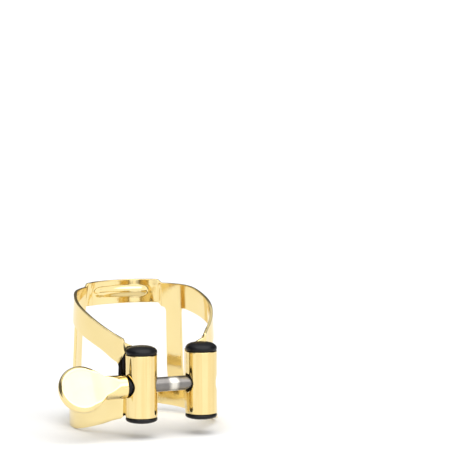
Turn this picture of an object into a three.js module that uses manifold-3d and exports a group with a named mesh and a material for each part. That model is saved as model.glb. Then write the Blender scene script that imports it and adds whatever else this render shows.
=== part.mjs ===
// Single-screw saxophone ligature, in millimetres.
// Frame: the origin is on the mouthpiece axis in the plane of the band's lowest edge, +Z runs
// along the mouthpiece, +Y points to the reed side and X runs along the clamping screw.
// The sheet-metal band is one springy strip in reality. Here it is two halves that meet at the
// middle of the reed side, where the strip flexes as the screw draws the two posts together.
import * as THREE from "three";
import { mergeVertices } from "three/addons/utils/BufferGeometryUtils.js";
import Module from "manifold-3d";

const wasm = await Module();
wasm.setup();

// ---- Driving dimensions -------------------------------------------------------------------

const SHEET = 0.55; // thickness of the band's brass sheet
const RING_RADIUS_AT_BASE = 14.1; // outside of the band at z = 0
const RING_TAPER = 0.045; // radius lost for each millimetre of height
const PLATEAU_DEPTH = 0.45; // how far the reed plateau stands out of the ring
const PLATEAU_LIFT = 0.65; // how far the plateau's upper strip sits above the side strips
const PLATEAU_EDGE = [33.5, 38]; // degrees from the back centre, where the plateau steps in
const STRUT_EDGE = [41.5, 55.5]; // degrees from the back centre, the two sides of a strut
const RING_END = 134; // degrees from the back centre, where the round part of the band ends
const WINDOW_END = 137.7; // end of a side window, on the straight stretch
const FOLD_START = 140; // end of the straight stretch before the fold
const PLATE_START = 146; // end of the fold, start of the flat tab plate
const PLATE_END = 160; // free end of the tab plate
const FOLD_RADIUS = 0.8;
const FOLD_X = 8.15; // corner of the fold at the height FOLD_X_HEIGHT
const FOLD_X_HEIGHT = 17.5;
const FOLD_X_SLOPE = 0.03; // the corner leans outward by this much for each millimetre down
const PLATE_Y = -11.14; // front of the tab plate
const PLATE_FREE_X = 4.05;
const SPLIT_GAP = 0.3; // between the two halves of the band
const WINDOW_START = 59; // degrees, where a side window is past its rounded corner
const CORNER_RADIUS = 0.8; // window corners beside a strut
const NOSE_RADIUS = 0.6; // window corners beside the fold

// Edges of the band as [station, height] pairs. Stations up to RING_END are degrees.
const BOTTOM_EDGE = [
  [0, 1.45], [33, 1.45], [54, 1.0], [80, 0], [101, 0.4], [123, 1.75], [141, 3.3], [160, 4.4],
];
const LOW_WINDOW_EDGE = [
  [0, 5.8], [33, 5.8], [54, 5.4], [80, 4.7], [101, 5.1], [123, 6.5], [140, 8.1], [160, 8.1],
];
const HIGH_WINDOW_EDGE = [
  [0, 20.35], [56, 20.3], [72, 19.6], [98, 18.0], [122, 15.9], [139, 13.5], [160, 13],
];
const TOP_EDGE = [
  [0, 24.95], [52, 24.95], [67, 24.7], [80, 23.9], [106, 21.95],
  [131, 19.3], [144, 17.6], [150, 16.9], [160, 15.6],
];

const RIB_END = 26; // degrees from the back centre
const RIB_HEIGHTS = [22.3, 24.4];
const RIB_DEPTH = 0.45; // how far the rib stands in from the sheet

const POST_X = 5.95;
const POST_Y = -14.29;
const TUBE_RADIUS = 2.95;
const TUBE_BORE = 2.3;
const TUBE_HEIGHTS = [3.95, 15.6];
const TUBE_HOLE = 2.0; // radius of the cross holes that the screw passes through
const NEAR_HOLE = 1.75; // the same in the right tube, on its side toward the key
const CAP_FOOT = 0.3; // chamfer round a cap's lower edge
const CAP_RIM = 0.4; // height where a cap's dome starts
const TOP_CAP_HEIGHT = 1.4;
const BOTTOM_CAP_HEIGHT = 0.95;
const PLUG_RADIUS = 2.1;
const PLUG_LENGTH = 1.1;
const SOCKET_RADIUS = 1.25;
const JOURNAL_RADIUS = 1.1;
const CORE_RADIUS = 2.15;
const SEAT_GAP = 0.2; // between two pieces that bear on each other

const SCREW_Z = 9.75;
const SHAFT_RADIUS = 1.35;
const SHAFT_ENDS = [-12.2, 8.3];
const SHAFT_CLEARANCE = 0.15;
const TIP_CHAMFER = 0.4;
const INSERT_RADIUS = 1.75;
const INSERT_ENDS = [-0.8, 1.7]; // along X from the right post's axis
const WASHER_RADIUS = 1.7;
const WASHER_ENDS = [-9.0, -8.25];

const NECK_RADIUS = 2.2;
const NECK_ENDS = [-13.6, -9.15];
const NECK_CHAMFER = 0.25;
const PADDLE_X = -17.75;
const PADDLE_RADIUS = 4.5;
const PADDLE_THICKNESS = 1.7;
const PADDLE_BEVEL = 0.3;
const WEB_ENDS = [-11.6, -16.0]; // where the round neck flares and flattens into the paddle
const WEB_HALF_HEIGHT = 3.9;
const WEB_INSET = 0.02; // keeps the web's sections just inside the neck and the paddle
const KEY_TILT = 28; // degrees that the paddle's face looks upward at rest

const ROUND_STEPS = 36;
const SMALL_ROUND_STEPS = 32;
const PADDLE_STEPS = 64;

// ---- Materials ----------------------------------------------------------------------------

const gold = () => new THREE.MeshStandardMaterial({ color: 0xf3cf7a, roughness: 0.12, metalness: 1 });
const steel = () => new THREE.MeshStandardMaterial({ color: 0x9c9a98, roughness: 0.25, metalness: 1 });
const black = () => new THREE.MeshStandardMaterial({ color: 0x17181b, roughness: 0.3, metalness: 0 });
const brass = () => new THREE.MeshStandardMaterial({ color: 0xc79a45, roughness: 0.35, metalness: 1 });

// ---- Booleans -----------------------------------------------------------------------------

function solidOf(geometry) {
  const bare = geometry.clone();
  for (const name of Object.keys(bare.attributes)) {
    if (name !== "position") bare.deleteAttribute(name);
  }
  const merged = mergeVertices(bare, 1e-5);
  const vertProperties = new Float32Array(merged.attributes.position.array);
  const triVerts = new Uint32Array(merged.index.array);
  return new wasm.Manifold(new wasm.Mesh({ numProp: 3, vertProperties, triVerts }));
}

function geometryOf(solid) {
  const mesh = solid.getMesh();
  const geometry = new THREE.BufferGeometry();
  geometry.setAttribute("position", new THREE.BufferAttribute(new Float32Array(mesh.vertProperties), 3));
  geometry.setIndex(new THREE.BufferAttribute(new Uint32Array(mesh.triVerts), 1));
  geometry.computeVertexNormals();
  return geometry;
}

const cut = (body, ...tools) => {
  return geometryOf(tools.reduce((solid, tool) => solid.subtract(solidOf(tool)), solidOf(body)));
};

const join = (body, ...others) => {
  return geometryOf(others.reduce((solid, other) => solid.add(solidOf(other)), solidOf(body)));
};

// ---- Round pieces -------------------------------------------------------------------------

// A solid of revolution about Z, from [radius, height] pairs.
function turned(profile, steps = ROUND_STEPS) {
  const points = profile.map(([radius, height]) => new THREE.Vector2(radius, height));
  return new THREE.LatheGeometry(points, steps).rotateX(Math.PI / 2);
}

// The same, about X: the heights become places along X.
const turnedAlongX = (profile, steps) => turned(profile, steps).rotateY(Math.PI / 2);

// An arc in a profile, as [radius, height] pairs.
function roundedEdge(centreRadius, centreHeight, radius, fromDegrees, toDegrees, steps) {
  return Array.from({ length: steps + 1 }, (_, i) => {
    const angle = THREE.MathUtils.degToRad(fromDegrees + ((toDegrees - fromDegrees) * i) / steps);
    return [centreRadius + radius * Math.cos(angle), centreHeight + radius * Math.sin(angle)];
  });
}

const ring = (inner, outer, low, high) => {
  return [[inner, low], [outer, low], [outer, high], [inner, high], [inner, low]];
};

// ---- Band ---------------------------------------------------------------------------------

// A smooth curve through [station, value] pairs that runs level past both ends.
function curveThrough(pairs) {
  const slopeAt = (i) => {
    if (i === 0 || i === pairs.length - 1) return 0;
    return (pairs[i + 1][1] - pairs[i - 1][1]) / (pairs[i + 1][0] - pairs[i - 1][0]);
  };
  return (station) => {
    const next = pairs.findIndex((pair) => pair[0] > station);
    const i = next < 0 ? pairs.length - 2 : Math.max(0, next - 1);
    const [x0, y0] = pairs[i];
    const [x1, y1] = pairs[i + 1];
    const span = x1 - x0;
    const t = THREE.MathUtils.clamp((station - x0) / span, 0, 1);
    const t2 = t * t;
    const t3 = t2 * t;
    const fromValues = (2 * t3 - 3 * t2 + 1) * y0 + (3 * t2 - 2 * t3) * y1;
    const fromSlopes = (t3 - 2 * t2 + t) * slopeAt(i) + (t3 - t2) * slopeAt(i + 1);
    return fromValues + fromSlopes * span;
  };
}

const plateauShare = (station) => 1 - THREE.MathUtils.smoothstep(station, ...PLATEAU_EDGE);

const ringRadius = (station, z) => {
  return RING_RADIUS_AT_BASE - RING_TAPER * z + PLATEAU_DEPTH * plateauShare(station);
};

function ringPoint(station, z) {
  const angle = THREE.MathUtils.degToRad(station);
  const outward = new THREE.Vector2(Math.sin(angle), Math.cos(angle));
  return { point: outward.clone().multiplyScalar(ringRadius(station, z)), inward: outward.negate() };
}

// The right half's outer surface in plan, and its inward normal, at one station and height.
function planAt(station, z) {
  if (station <= RING_END) return ringPoint(station, z);
  const start = ringPoint(RING_END, z).point;
  const corner = new THREE.Vector2(FOLD_X + FOLD_X_SLOPE * (FOLD_X_HEIGHT - z), PLATE_Y);
  const along = corner.clone().sub(start).normalize();
  const startAngle = Math.atan2(along.y, along.x);
  const turnAngle = -Math.PI - startAngle;
  const tangentLength = FOLD_RADIUS * Math.tan(Math.abs(turnAngle) / 2);
  const inwardOf = (angle) => new THREE.Vector2(Math.sin(angle), -Math.cos(angle));
  const foldStart = corner.clone().addScaledVector(along, -tangentLength);
  if (station <= FOLD_START) {
    const share = (station - RING_END) / (FOLD_START - RING_END);
    return { point: start.clone().lerp(foldStart, share), inward: inwardOf(startAngle) };
  }
  if (station <= PLATE_START) {
    const share = (station - FOLD_START) / (PLATE_START - FOLD_START);
    const inward = inwardOf(startAngle + turnAngle * share);
    const centre = foldStart.addScaledVector(inwardOf(startAngle), FOLD_RADIUS);
    return { point: centre.addScaledVector(inward, -FOLD_RADIUS), inward };
  }
  const share = (station - PLATE_START) / (PLATE_END - PLATE_START);
  const x = THREE.MathUtils.lerp(corner.x - tangentLength, PLATE_FREE_X, share);
  return { point: new THREE.Vector2(x, PLATE_Y), inward: new THREE.Vector2(0, 1) };
}

// How far a window's edge has curved in at a distance from the window's end.
const cornerRise = (distance, radius) => {
  const inside = THREE.MathUtils.clamp(radius - distance, 0, radius);
  return radius - Math.sqrt(radius * radius - inside * inside);
};

function windowRise(station) {
  const perDegree = THREE.MathUtils.degToRad(RING_RADIUS_AT_BASE - SHEET);
  const toStrut = Math.max(STRUT_EDGE[0] - station, station - STRUT_EDGE[1], 0) * perDegree;
  const toNose = Math.max(WINDOW_END - station, 0) * perDegree;
  return cornerRise(toStrut, CORNER_RADIUS) + cornerRise(toNose, NOSE_RADIUS);
}

const edges = {
  bottom: curveThrough(BOTTOM_EDGE),
  lowWindow: curveThrough(LOW_WINDOW_EDGE),
  highWindow: curveThrough(HIGH_WINDOW_EDGE),
  top: curveThrough(TOP_EDGE),
};

// The four heights at one station: lower strip from the first to the second, upper strip from
// the third to the fourth. Between them is a window, a strut or the tab plate.
function rowsAt(station) {
  const lift = PLATEAU_LIFT * plateauShare(station);
  const rise = windowRise(station);
  return [
    edges.bottom(station),
    edges.lowWindow(station) + rise,
    edges.highWindow(station) + lift - rise,
    edges.top(station) + lift,
  ];
}

const isSolidBetweenStrips = (station) => {
  return (station > STRUT_EDGE[0] && station < STRUT_EDGE[1]) || station > WINDOW_END;
};

// Evenly spaced stations between listed places, as [place, steps to the next place] pairs.
function stationsThrough(places) {
  const stations = places.slice(0, -1).flatMap(([start, steps], i) => {
    const end = places[i + 1][0];
    return Array.from({ length: steps }, (_, k) => start + ((end - start) * k) / steps);
  });
  return [...stations, places[places.length - 1][0]];
}

// One closed body following the band: rows are heights, depths are distances in from the
// outer surface, and filled(station, row) says which cells between the rows hold metal.
function sheetBody(stations, rowsOf, filled, depths) {
  const positions = [];
  const indices = [];
  const rowCount = rowsOf(stations[0]).length;
  for (const station of stations) {
    for (const z of rowsOf(station)) {
      const { point, inward } = planAt(station, z);
      for (const depth of depths) {
        positions.push(point.x + inward.x * depth, point.y + inward.y * depth, z);
      }
    }
  }
  const at = (column, row, side) => (column * rowCount + row) * 2 + side;
  const quad = (a, b, c, d) => indices.push(a, b, c, a, c, d);
  const isFilled = (column, row) => {
    if (column < 0 || row < 0 || column >= stations.length - 1 || row >= rowCount - 1) return false;
    return filled((stations[column] + stations[column + 1]) / 2, row);
  };
  for (let c = 0; c < stations.length - 1; c += 1) {
    for (let r = 0; r < rowCount - 1; r += 1) {
      if (!isFilled(c, r)) continue;
      quad(at(c, r, 0), at(c, r + 1, 0), at(c + 1, r + 1, 0), at(c + 1, r, 0));
      quad(at(c, r, 1), at(c + 1, r, 1), at(c + 1, r + 1, 1), at(c, r + 1, 1));
      if (!isFilled(c - 1, r)) quad(at(c, r, 0), at(c, r, 1), at(c, r + 1, 1), at(c, r + 1, 0));
      if (!isFilled(c + 1, r)) {
        quad(at(c + 1, r, 0), at(c + 1, r + 1, 0), at(c + 1, r + 1, 1), at(c + 1, r, 1));
      }
      if (!isFilled(c, r - 1)) quad(at(c, r, 0), at(c + 1, r, 0), at(c + 1, r, 1), at(c, r, 1));
      if (!isFilled(c, r + 1)) {
        quad(at(c, r + 1, 0), at(c, r + 1, 1), at(c + 1, r + 1, 1), at(c + 1, r + 1, 0));
      }
    }
  }
  const geometry = new THREE.BufferGeometry();
  geometry.setAttribute("position", new THREE.BufferAttribute(new Float32Array(positions), 3));
  geometry.setIndex(indices);
  return geometry;
}

const splitStation = THREE.MathUtils.radToDeg(SPLIT_GAP / 2 / (RING_RADIUS_AT_BASE - SHEET));

const bandStations = stationsThrough([
  [splitStation, 12],
  [PLATEAU_EDGE[0], 4],
  [PLATEAU_EDGE[1], 5],
  [STRUT_EDGE[0], 5],
  [STRUT_EDGE[1], 5],
  [WINDOW_START, 25],
  [RING_END, 7],
  [WINDOW_END, 3],
  [FOLD_START, 6],
  [PLATE_START, 4],
  [PLATE_END, 0],
]);

// The embossed rib across the plateau, with its end rounded in the sheet's surface.
function ribRowsAt(station) {
  const [low, high] = RIB_HEIGHTS;
  const radius = (high - low) / 2;
  const perDegree = THREE.MathUtils.degToRad(RING_RADIUS_AT_BASE);
  const fromEnd = Math.max(radius - (RIB_END - station) * perDegree, 0);
  const half = Math.max(Math.sqrt(radius * radius - fromEnd * fromEnd), radius / 4);
  return [low + radius - half, low + radius + half];
}

function bandHalf() {
  const strips = sheetBody(
    bandStations,
    rowsAt,
    (station, row) => row !== 1 || isSolidBetweenStrips(station),
    [0, SHEET],
  );
  const ribStations = stationsThrough([[splitStation, 10], [RIB_END - 4, 5], [RIB_END, 0]]);
  const rib = sheetBody(ribStations, ribRowsAt, () => true, [SHEET / 2, SHEET + RIB_DEPTH]);
  return join(strips, rib);
}

// The mirror image in X, with its faces turned the right way out again.
function mirrored(geometry) {
  const copy = geometry.clone().scale(-1, 1, 1);
  const index = copy.index.array;
  for (let i = 0; i < index.length; i += 3) {
    [index[i], index[i + 1]] = [index[i + 1], index[i]];
  }
  copy.computeVertexNormals();
  return copy;
}

// ---- Posts --------------------------------------------------------------------------------

// A drill along X through the post's axis at the height of the screw.
const crossDrill = (radius, from, to) => {
  const profile = [[0, from], [radius, from], [radius, to], [0, to]];
  return turnedAlongX(profile, SMALL_ROUND_STEPS).translate(0, 0, SCREW_Z);
};

const shaftBore = () => crossDrill(SHAFT_RADIUS + SHAFT_CLEARANCE, -TUBE_RADIUS, TUBE_RADIUS);

// The wider bore from the far side that takes the thread insert.
const insertBore = () => {
  return crossDrill(INSERT_RADIUS + SHAFT_CLEARANCE / 2, INSERT_ENDS[0] - SHAFT_CLEARANCE, TUBE_RADIUS);
};

function postTube(nearHole) {
  const reach = TUBE_RADIUS + 1;
  const tube = turned(ring(TUBE_BORE, TUBE_RADIUS, ...TUBE_HEIGHTS));
  return cut(cut(tube, crossDrill(nearHole, -reach, 0)), crossDrill(TUBE_HOLE, 0, reach));
}

// A domed end cap, standing on z = 0 with its plug below and a blind socket up into the plug.
function endCap(height) {
  const domeHeight = (share) => CAP_RIM + (height - CAP_RIM) * Math.sqrt(1 - share ** 3);
  return turned([
    [0, -PLUG_LENGTH / 2],
    [SOCKET_RADIUS, -PLUG_LENGTH / 2],
    [SOCKET_RADIUS, -PLUG_LENGTH],
    [PLUG_RADIUS, -PLUG_LENGTH],
    [PLUG_RADIUS, 0],
    [TUBE_RADIUS - CAP_FOOT, 0],
    [TUBE_RADIUS, CAP_FOOT],
    ...[1, 0.97, 0.9, 0.75, 0.5, 0.25].map((share) => [TUBE_RADIUS * share, domeHeight(share)]),
    [0, height],
  ]);
}

// The black rod inside a post, with a journal at each end and drills across it at the screw.
function swivelCore(drills) {
  const low = TUBE_HEIGHTS[0] + PLUG_LENGTH;
  const high = TUBE_HEIGHTS[1] - PLUG_LENGTH;
  const journal = PLUG_LENGTH / 2 - SEAT_GAP;
  const body = turned([
    [0, low - journal],
    [JOURNAL_RADIUS, low - journal],
    [JOURNAL_RADIUS, low + SEAT_GAP],
    [CORE_RADIUS, low + SEAT_GAP],
    [CORE_RADIUS, high - SEAT_GAP],
    [JOURNAL_RADIUS, high - SEAT_GAP],
    [JOURNAL_RADIUS, high + journal],
    [0, high + journal],
  ]);
  return cut(body, ...drills);
}

// ---- Screw --------------------------------------------------------------------------------

function screwShaft() {
  const [start, end] = SHAFT_ENDS;
  return turnedAlongX([
    [0, start],
    [SHAFT_RADIUS, start],
    [SHAFT_RADIUS, end - TIP_CHAMFER],
    [SHAFT_RADIUS - TIP_CHAMFER, end],
    [0, end],
  ], SMALL_ROUND_STEPS);
}

// The web that flattens the round neck into the paddle: oval sections along X.
function keyWeb() {
  const steps = 12;
  const [start, end] = WEB_ENDS;
  const sides = SMALL_ROUND_STEPS;
  const positions = [];
  const indices = [];
  for (let i = 0; i <= steps; i += 1) {
    const share = i / steps;
    const blend = THREE.MathUtils.smoothstep(share, 0, 1);
    const halfHeight = NECK_RADIUS + (WEB_HALF_HEIGHT - NECK_RADIUS) * blend - WEB_INSET;
    const halfDepth = NECK_RADIUS + (PADDLE_THICKNESS / 2 - NECK_RADIUS) * blend - WEB_INSET;
    for (let k = 0; k < sides; k += 1) {
      const angle = (2 * Math.PI * k) / sides;
      positions.push(start + (end - start) * share);
      positions.push(halfDepth * Math.cos(angle), halfHeight * Math.sin(angle));
    }
  }
  const first = positions.length / 3;
  positions.push(start, 0, 0, end, 0, 0);
  for (let k = 0; k < sides; k += 1) {
    const next = (k + 1) % sides;
    for (let i = 0; i < steps; i += 1) {
      const low = i * sides;
      const high = low + sides;
      indices.push(low + k, high + k, high + next, low + k, high + next, low + next);
    }
    indices.push(first, k, next);
    indices.push(first + 1, steps * sides + next, steps * sides + k);
  }
  const geometry = new THREE.BufferGeometry();
  geometry.setAttribute("position", new THREE.BufferAttribute(new Float32Array(positions), 3));
  geometry.setIndex(indices);
  return geometry;
}

function thumbKey() {
  const [neckFar, neckNear] = NECK_ENDS;
  const neck = turnedAlongX([
    [0, neckFar],
    [NECK_RADIUS, neckFar],
    [NECK_RADIUS, neckNear - NECK_CHAMFER],
    [NECK_RADIUS - NECK_CHAMFER, neckNear],
    [0, neckNear],
  ]);
  const half = PADDLE_THICKNESS / 2;
  const rim = PADDLE_RADIUS - PADDLE_BEVEL;
  const paddle = turned([
    [0, -half],
    [rim, -half],
    ...roundedEdge(rim, -half + PADDLE_BEVEL, PADDLE_BEVEL, -60, 0, 2),
    ...roundedEdge(rim, half - PADDLE_BEVEL, PADDLE_BEVEL, 0, 60, 2),
    [rim, half],
    [0, half],
  ], PADDLE_STEPS).rotateX(Math.PI / 2).translate(PADDLE_X, 0, 0);
  const socketEnd = SHAFT_ENDS[0] - SEAT_GAP;
  const boreRadius = SHAFT_RADIUS + SHAFT_CLEARANCE;
  const socketProfile = [[0, socketEnd], [boreRadius, socketEnd], [boreRadius, 0], [0, 0]];
  const socket = turnedAlongX(socketProfile, SMALL_ROUND_STEPS);
  const blank = solidOf(neck).add(solidOf(keyWeb())).add(solidOf(paddle));
  return geometryOf(blank.subtract(solidOf(socket)));
}

// ---- Assembly -----------------------------------------------------------------------------

function piece(name, geometry, material, x = 0, y = 0, z = 0) {
  const mesh = new THREE.Mesh(geometry, material);
  mesh.name = name;
  mesh.position.set(x, y, z);
  return mesh;
}

function post(side, x, coreDrills, nearHole) {
  const group = new THREE.Group();
  group.position.set(x, POST_Y, 0);
  const bottomCap = piece(`cap_${side}_bottom`, endCap(BOTTOM_CAP_HEIGHT), black());
  bottomCap.position.z = TUBE_HEIGHTS[0] - SEAT_GAP;
  bottomCap.rotation.x = Math.PI;
  group.add(
    piece(`post_tube_${side}`, postTube(nearHole), gold()),
    piece(`swivel_core_${side}`, swivelCore(coreDrills), black()),
    piece(`cap_${side}_top`, endCap(TOP_CAP_HEIGHT), black(), 0, 0, TUBE_HEIGHTS[1] + SEAT_GAP),
    bottomCap,
  );
  return group;
}

function threadInsert() {
  const bore = SHAFT_RADIUS + SHAFT_CLEARANCE;
  return turnedAlongX(ring(bore, INSERT_RADIUS, ...INSERT_ENDS), SMALL_ROUND_STEPS);
}

function thrustWasher() {
  const bore = SHAFT_RADIUS + SHAFT_CLEARANCE / 2;
  return turnedAlongX(ring(bore, WASHER_RADIUS, ...WASHER_ENDS), SMALL_ROUND_STEPS);
}

function thumbScrew() {
  const group = new THREE.Group();
  group.position.set(0, POST_Y, SCREW_Z);
  group.rotation.x = -THREE.MathUtils.degToRad(KEY_TILT);
  group.add(
    piece("thumb_key", thumbKey(), gold()),
    piece("screw_shaft", screwShaft(), steel()),
    piece("thrust_washer", thrustWasher(), black()),
  );
  return group;
}

const group = new THREE.Group();
const rightBand = bandHalf();
group.add(
  piece("band_right", rightBand, gold()),
  piece("band_left", mirrored(rightBand), gold()),
  post("left", -POST_X, [shaftBore()], TUBE_HOLE),
  post("right", POST_X, [shaftBore(), insertBore()], NEAR_HOLE),
  piece("thread_insert", threadInsert(), brass(), POST_X, POST_Y, SCREW_Z),
  thumbScrew(),
);

export default group;
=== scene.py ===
"""Saxophone ligature: the finished surfaces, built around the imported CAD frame."""
import math

import bmesh
import bpy
import numpy as np
from mathutils import Matrix, Vector


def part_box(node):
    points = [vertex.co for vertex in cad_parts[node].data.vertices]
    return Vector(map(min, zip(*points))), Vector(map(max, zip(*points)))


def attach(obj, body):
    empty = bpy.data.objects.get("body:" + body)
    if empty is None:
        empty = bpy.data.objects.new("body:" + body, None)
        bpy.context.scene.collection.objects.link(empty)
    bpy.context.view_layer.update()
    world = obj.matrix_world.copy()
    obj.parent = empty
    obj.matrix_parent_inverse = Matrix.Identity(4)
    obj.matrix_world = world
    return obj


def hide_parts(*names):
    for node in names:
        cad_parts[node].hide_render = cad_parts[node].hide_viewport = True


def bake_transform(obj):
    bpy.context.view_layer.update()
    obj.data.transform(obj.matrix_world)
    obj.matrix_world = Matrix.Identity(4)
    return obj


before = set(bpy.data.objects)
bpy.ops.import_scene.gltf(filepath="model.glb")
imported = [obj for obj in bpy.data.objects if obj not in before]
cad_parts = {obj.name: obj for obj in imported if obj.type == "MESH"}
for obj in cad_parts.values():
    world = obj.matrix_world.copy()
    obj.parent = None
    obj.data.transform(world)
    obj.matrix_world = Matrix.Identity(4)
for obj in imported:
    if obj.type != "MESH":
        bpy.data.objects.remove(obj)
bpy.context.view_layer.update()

MM = 0.001

# ---- Driving dimensions, in millimetres, in the CAD frame -----------------------------------
#
# A station is a place along the band. Up to RING_END it is the angle in degrees from the middle of
# the plateau. Past that it only counts on, along the straight run, the fold and the tab's plate.

SHEET = 0.55
RING_RADIUS_AT_BASE = 14.1
RING_TAPER = 0.045
PLATEAU_DEPTH = 0.45
PLATEAU_LIFT = 0.65
PLATEAU_EDGE = (33.5, 38)
PLATEAU_LEAN = 0.045  # how far the upper part of the plateau leans in for each millimetre of height
PLATEAU_LEAN_HEIGHT = 23  # the height where that lean is nothing
PLATEAU_LEAN_GAIN = 0.4  # the lean is larger by this share at the plateau's two ends
PLATEAU_TWIST = 0.055  # what the lean gains in all between these two stations
PLATEAU_TWIST_STATIONS = (26.6, 30.2)
MARGIN_START = 24.3  # the margin above the rib leans in further
MARGIN_LEAN = 0.076
FOOT_HEIGHT = 2.6  # above this the lower strip's wall flares instead of tapering
FOOT_FLARE = 0.075
FOOT_EASE = 0.55  # the share of that change kept below it
FOOT_START = (20, 36)  # stations where the flare sets in
FOOT_TOP = (5.5, 9)  # heights where it dies out
FOOT_END = (79, 107)  # stations where it dies out
STRUT_EDGE = (41.5, 55.5)
RING_END = 134
WINDOW_END = 137.7
FOLD_START = 140
PLATE_START = 146
PLATE_END = 160
FOLD_RADIUS = 0.8
FOLD_X = 8.15
FOLD_X_HEIGHT = 17.5
FOLD_X_SLOPE = 0.03
PLATE_Y = -11.14
PLATE_FREE_X = 4.05
CORNER_RADIUS = 0.8
NOSE_RADIUS = 0.6
EDGE_ROUNDING = 0.08

# The strips' edges, as heights at stations.
BOTTOM_EDGE = [(0, 1.45), (33, 1.45), (54, 1.0), (80, 0), (101, 0.4), (123, 1.75), (141, 3.3), (160, 4.4)]
LOW_WINDOW_EDGE = [(0, 5.8), (33, 5.8), (54, 5.4), (80, 4.7), (101, 5.1), (123, 6.5), (140, 8.1), (160, 8.1)]
HIGH_WINDOW_EDGE = [(0, 20.35), (56, 20.3), (72, 19.6), (98, 18.0), (122, 15.9), (139, 13.5), (160, 13)]
TOP_EDGE = [
    (0, 24.95), (52, 24.95), (67, 24.7), (80, 23.9), (106, 21.95),
    (131, 19.3), (144, 17.6), (150, 16.9), (160, 15.6),
]

RIB_CENTRE = 23.35
RIB_HALF_LENGTH = 5.7
RIB_HALF_HEIGHT = 1.2
RIB_CREST = 0.1
RIB_END_RATIO = 0.6  # below one, the rib's ends run out longer than they are high
RIB_DEPTH = 0.33

TAB_LEAN = 0.2  # how far a tab's top corner leans back for each millimetre of height
TAB_LEAN_START = 15.8

# The painted shade at each window's nose: the dark in the corner where the fold meets the post.
NOSE_SHADE_FOOT = 13.3  # top of the painted shade at a window's nose
NOSE_SHADE_SLOPE = 2.2  # how fast its top climbs toward the post
NOSE_SHADE_CLIMB = 1.5  # how far along X it climbs
NOSE_SHADE_FADE = 0.35  # width of its top edge
NOSE_SHADE_BOTTOM = (8.2, 8.8)
NOSE_SHADE_BACK = (0.9, 0.5)  # how far behind the nose, along Y, it sets in

HOLE_RADIUS = 2.0
NEAR_HOLE_RADIUS = 1.75  # in the right tube, on its side toward the key
HOLE_ROUNDING = 0.1
TUBE_BORE = 2.3
TUBE_END_ROUNDING = 0.1
CAP_RIM = 0.45
CAP_FOOT = 0.36
CAP_SEAT_GAP = 0.03
CAP_PLUG_DEPTH = 0.5
CAP_PLUG_CLEARANCE = 0.12

# Each post's two solder beads, on the tab's side away from the other post and toward it.
SOLDER_REACH = {"outer": 1.9, "inner": 1.5}
SOLDER_ANGLE = {"outer": 36, "inner": 30}
SOLDER_SINK = 0.12  # how far a bead reaches into the tab plate
SOLDER_ENDS = (0.35, 0.75)  # its distance from the plate's lower and upper edge

THREAD_PITCH = 0.5
THREAD_DEPTH = 0.22
THREAD_START = 3.6
TIP_TAPER = (0.45, 0.25)  # the tip's taper starts this far before the end and aims this far past it
TIP_DEPTH = 0.48
# Where the painted highlight on the shank is centred, along X.
SHANK_HIGHLIGHT_X = 0.15

WASHER_EDGE = 0.07
WASHER_CLEARANCE = 0.04

NECK_RADIUS = 2.2
NECK_EDGE = 0.22
PADDLE_RADIUS = 4.5
PADDLE_THICKNESS = 1.7
PADDLE_EDGE = 0.5  # bevel round the paddle's faces
PADDLE_ROUNDING = 0.16
PADDLE_BULGE = 0.08
WEB_BLEND = 1.5  # width of the soft join between paddle and neck
FACET_ENDS = (-15.9, -10.3)  # along X, where the flat faces run out into the round neck
KEY_TILT = 28  # degrees that the paddle's face looks up


def corner_of(node, which):
    """A corner of a CAD node's box, in millimetres."""
    return np.array(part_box(node)[which]) / MM


def centre_of(node):
    """The middle of a CAD node's box, in millimetres."""
    return (corner_of(node, 0) + corner_of(node, 1)) / 2


SCREW_AXIS = centre_of("screw_shaft")
POST_AXES = {side: centre_of(f"post_tube_{side}") for side in ("left", "right")}

# ---- Camera ---------------------------------------------------------------------------------

VIEW_TURN = 22.6  # degrees that the camera stands to the key's side of straight ahead
VIEW_DROP = 7.5  # degrees that it looks down
CAMERA_DISTANCE = 800
VIEW_WIDTH = 86.415  # how much the picture takes in, side to side, at that distance
ORIGIN_FROM_MIDDLE = (-16.17, -36.585)  # where the frame's origin lies, right of and above its middle
SENSOR = 36


def add_camera():
    """A long lens, so the perspective is slight, that frames the object low and to the left."""
    turn, drop = math.radians(VIEW_TURN), math.radians(VIEW_DROP)
    right = Vector((math.cos(turn), -math.sin(turn), 0))
    ahead = Vector((math.sin(turn) * math.cos(drop), math.cos(turn) * math.cos(drop), -math.sin(drop)))
    up = right.cross(ahead)
    across, above = ORIGIN_FROM_MIDDLE
    data = bpy.data.cameras.new("camera")
    data.sensor_width = SENSOR
    data.lens = SENSOR * CAMERA_DISTANCE / VIEW_WIDTH
    data.clip_start = 0.01
    data.clip_end = 20
    camera = bpy.data.objects.new("camera", data)
    place = -(right * across + up * above + ahead * CAMERA_DISTANCE) * MM
    camera.matrix_world = Matrix.Translation(place) @ Matrix((right, up, -ahead)).transposed().to_4x4()
    bpy.context.scene.collection.objects.link(camera)
    bpy.context.scene.camera = camera


add_camera()

# ---- Materials ------------------------------------------------------------------------------

GOLD_TONES = (0.870, 0.710, 0.358), (0.848, 0.680, 0.325)
DRAWN_TONE = (0.80, 0.605, 0.265)
# Near-black of the painted shade at the windows' noses.
NOSE_SHADE_TONE = (0.012, 0.011, 0.014)
BLACK_TONES = (0.004, 0.004, 0.005), (0.008, 0.008, 0.010)
STEEL_TONES = (0.195, 0.183, 0.174), (0.242, 0.229, 0.216)
# Pale cream of the painted highlight on the shank.
SHANK_HIGHLIGHT_TONE = (0.82, 0.79, 0.71)
BRASS_TONES = (0.72, 0.50, 0.20), (0.62, 0.42, 0.16)
FLOOR_TONES = (0.90, 0.90, 0.90), (0.88, 0.88, 0.88)


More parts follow.
